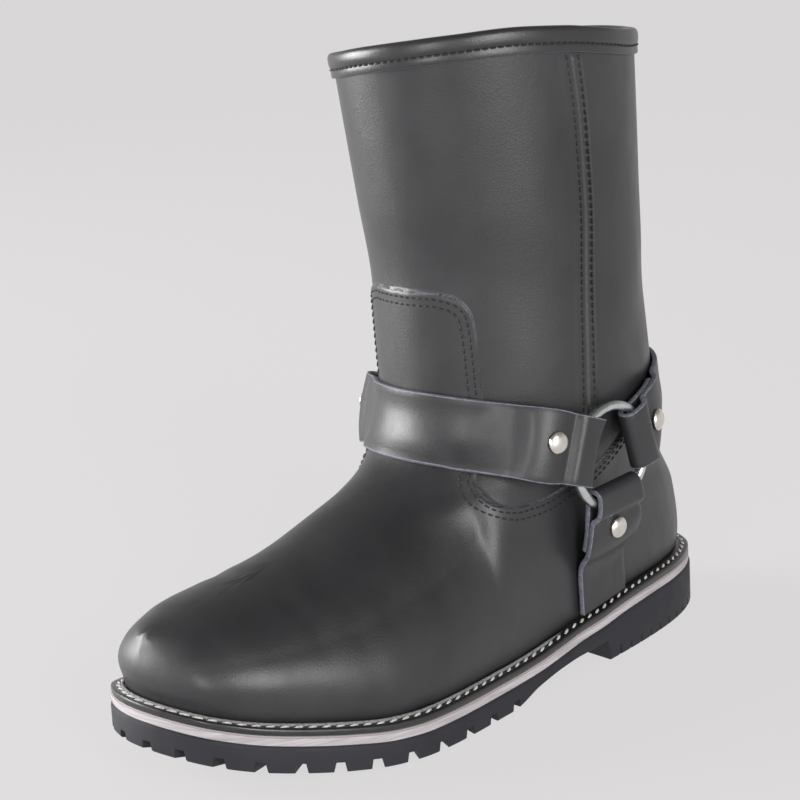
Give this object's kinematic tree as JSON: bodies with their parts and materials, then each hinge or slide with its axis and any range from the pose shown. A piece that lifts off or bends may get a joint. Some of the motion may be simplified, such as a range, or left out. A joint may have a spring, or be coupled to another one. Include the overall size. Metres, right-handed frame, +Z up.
{
  "type": "harness boot",
  "caption": "Black leather pull-on harness boot for the left foot: stitched welt, lugged rubber sole, straps joined by metal rings at the ankle.",
  "frame": {"origin": "on the floor, under the middle of the sole's length and between the two rings", "axes": "+X from heel to toe, +Y to the outer side of the left foot, +Z up"},
  "size_m": [0.3, 0.1236, 0.2698],
  "materials": {
    "upper_leather": "smooth black leather, satin",
    "strap_leather": "smooth black strap leather with grey raw edges",
    "welt_leather": "glossy black with pale stitching",
    "midsole_edge": "tan-grey edge, matt",
    "insole_board": "dark board, matt",
    "sole_rubber": "blue-grey black rubber, matt",
    "nickel": "polished nickel"
  },
  "bodies": {
    "boot": {"upper": "upper_leather", "collar_binding": "upper_leather", "insole": "insole_board", "welt": "welt_leather", "midsole": "midsole_edge", "outsole": "sole_rubber", "front_strap": "strap_leather", "rear_strap": "strap_leather", "down_strap_outer": "strap_leather", "down_strap_inner": "strap_leather", "rivet_front_outer": "nickel", "rivet_front_inner": "nickel", "rivet_rear_outer": "nickel", "rivet_rear_inner": "nickel", "rivet_down_outer": "nickel", "rivet_down_inner": "nickel"},
    "ring_outer": {"ring_outer": "nickel"},
    "ring_inner": {"ring_inner": "nickel"}
  },
  "joints": [
    {"name": "ring_outer_turn", "type": "hinge", "parent": "boot", "child": "ring_outer", "pos_m": [-0.0515, 0.05733, 0.094], "axis": [0, 1, 0], "continuous": true},
    {"name": "ring_inner_turn", "type": "hinge", "parent": "boot", "child": "ring_inner", "pos_m": [-0.0515, -0.05733, 0.094], "axis": [0, 1, 0], "continuous": true}
  ]
}
